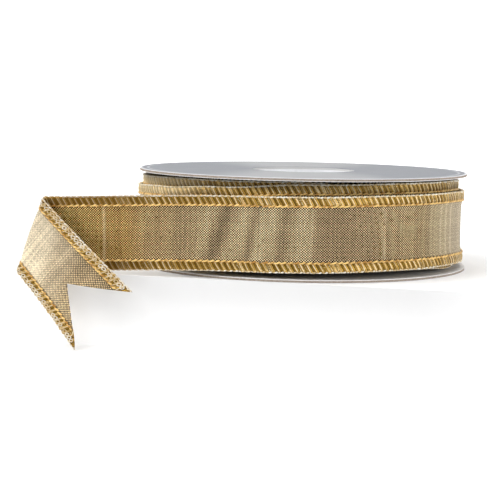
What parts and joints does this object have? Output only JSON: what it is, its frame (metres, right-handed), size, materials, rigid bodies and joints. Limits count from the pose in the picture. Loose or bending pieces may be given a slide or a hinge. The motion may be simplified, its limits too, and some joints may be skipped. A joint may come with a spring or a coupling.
{
  "type": "ribbon spool",
  "caption": "Board spool with two thin round flanges and a hollow core, wound with wired-edge metallic ribbon whose free end is folded and cut to a swallowtail.",
  "frame": {"origin": "on the spool's axis, in the plane of the lower flange's outer face, at the lower end of the core bore", "axes": "+Z along the spool's axis from the lower flange to the upper one; -X the way the free end runs; -Y the side the free end leaves from"},
  "size_m": [0.1574, 0.119, 0.0589],
  "materials": {
    "grey_chipboard": "raw grey-brown chipboard, cut edge",
    "silver_paper": "silver-grey laminated paper, satin",
    "white_paper": "uncoated white paper",
    "hot_glue": "cloudy hot-melt glue",
    "clear_tape": "thin frosted tape",
    "gold_web": "plain-woven metallic gold yarn",
    "gold_overlock": "metallic overlock thread over wire",
    "florist_wire": "soft annealed wire"
  },
  "bodies": {
    "spool": {"lower_flange_board": "grey_chipboard", "lower_flange_outer_paper": "silver_paper", "lower_flange_inner_paper": "white_paper", "upper_flange_board": "grey_chipboard", "upper_flange_outer_paper": "silver_paper", "upper_flange_inner_paper": "white_paper", "core_tube": "grey_chipboard", "core_lining": "white_paper", "lower_glue_ring": "hot_glue", "upper_glue_ring": "hot_glue", "start_tape": "clear_tape", "ribbon_inner_turns": "gold_web", "roll_web": "gold_web", "roll_upper_edge": "gold_overlock", "roll_lower_edge": "gold_overlock", "roll_upper_wire": "florist_wire", "roll_lower_wire": "florist_wire"},
    "tail": {"tail_web": "gold_web", "tail_upper_edge": "gold_overlock", "tail_lower_edge": "gold_overlock", "tail_upper_wire": "florist_wire", "tail_lower_wire": "florist_wire"},
    "flap": {"flap_web": "gold_web", "flap_upper_edge": "gold_overlock", "flap_lower_edge": "gold_overlock", "flap_upper_wire": "florist_wire", "flap_lower_wire": "florist_wire"}
  },
  "joints": [
    {"name": "tail_swing", "type": "hinge", "parent": "spool", "child": "tail", "pos_m": [-0.01584, -0.05591, 0.01565], "axis": [0, 0, 1], "range_deg": [0, 75]},
    {"name": "flap_fold", "type": "hinge", "parent": "tail", "child": "flap", "pos_m": [-0.09743, -0.03529, -0.00009], "axis": [-0.3281, 0.0879, -0.9405], "range_deg": [-9, 150]}
  ]
}
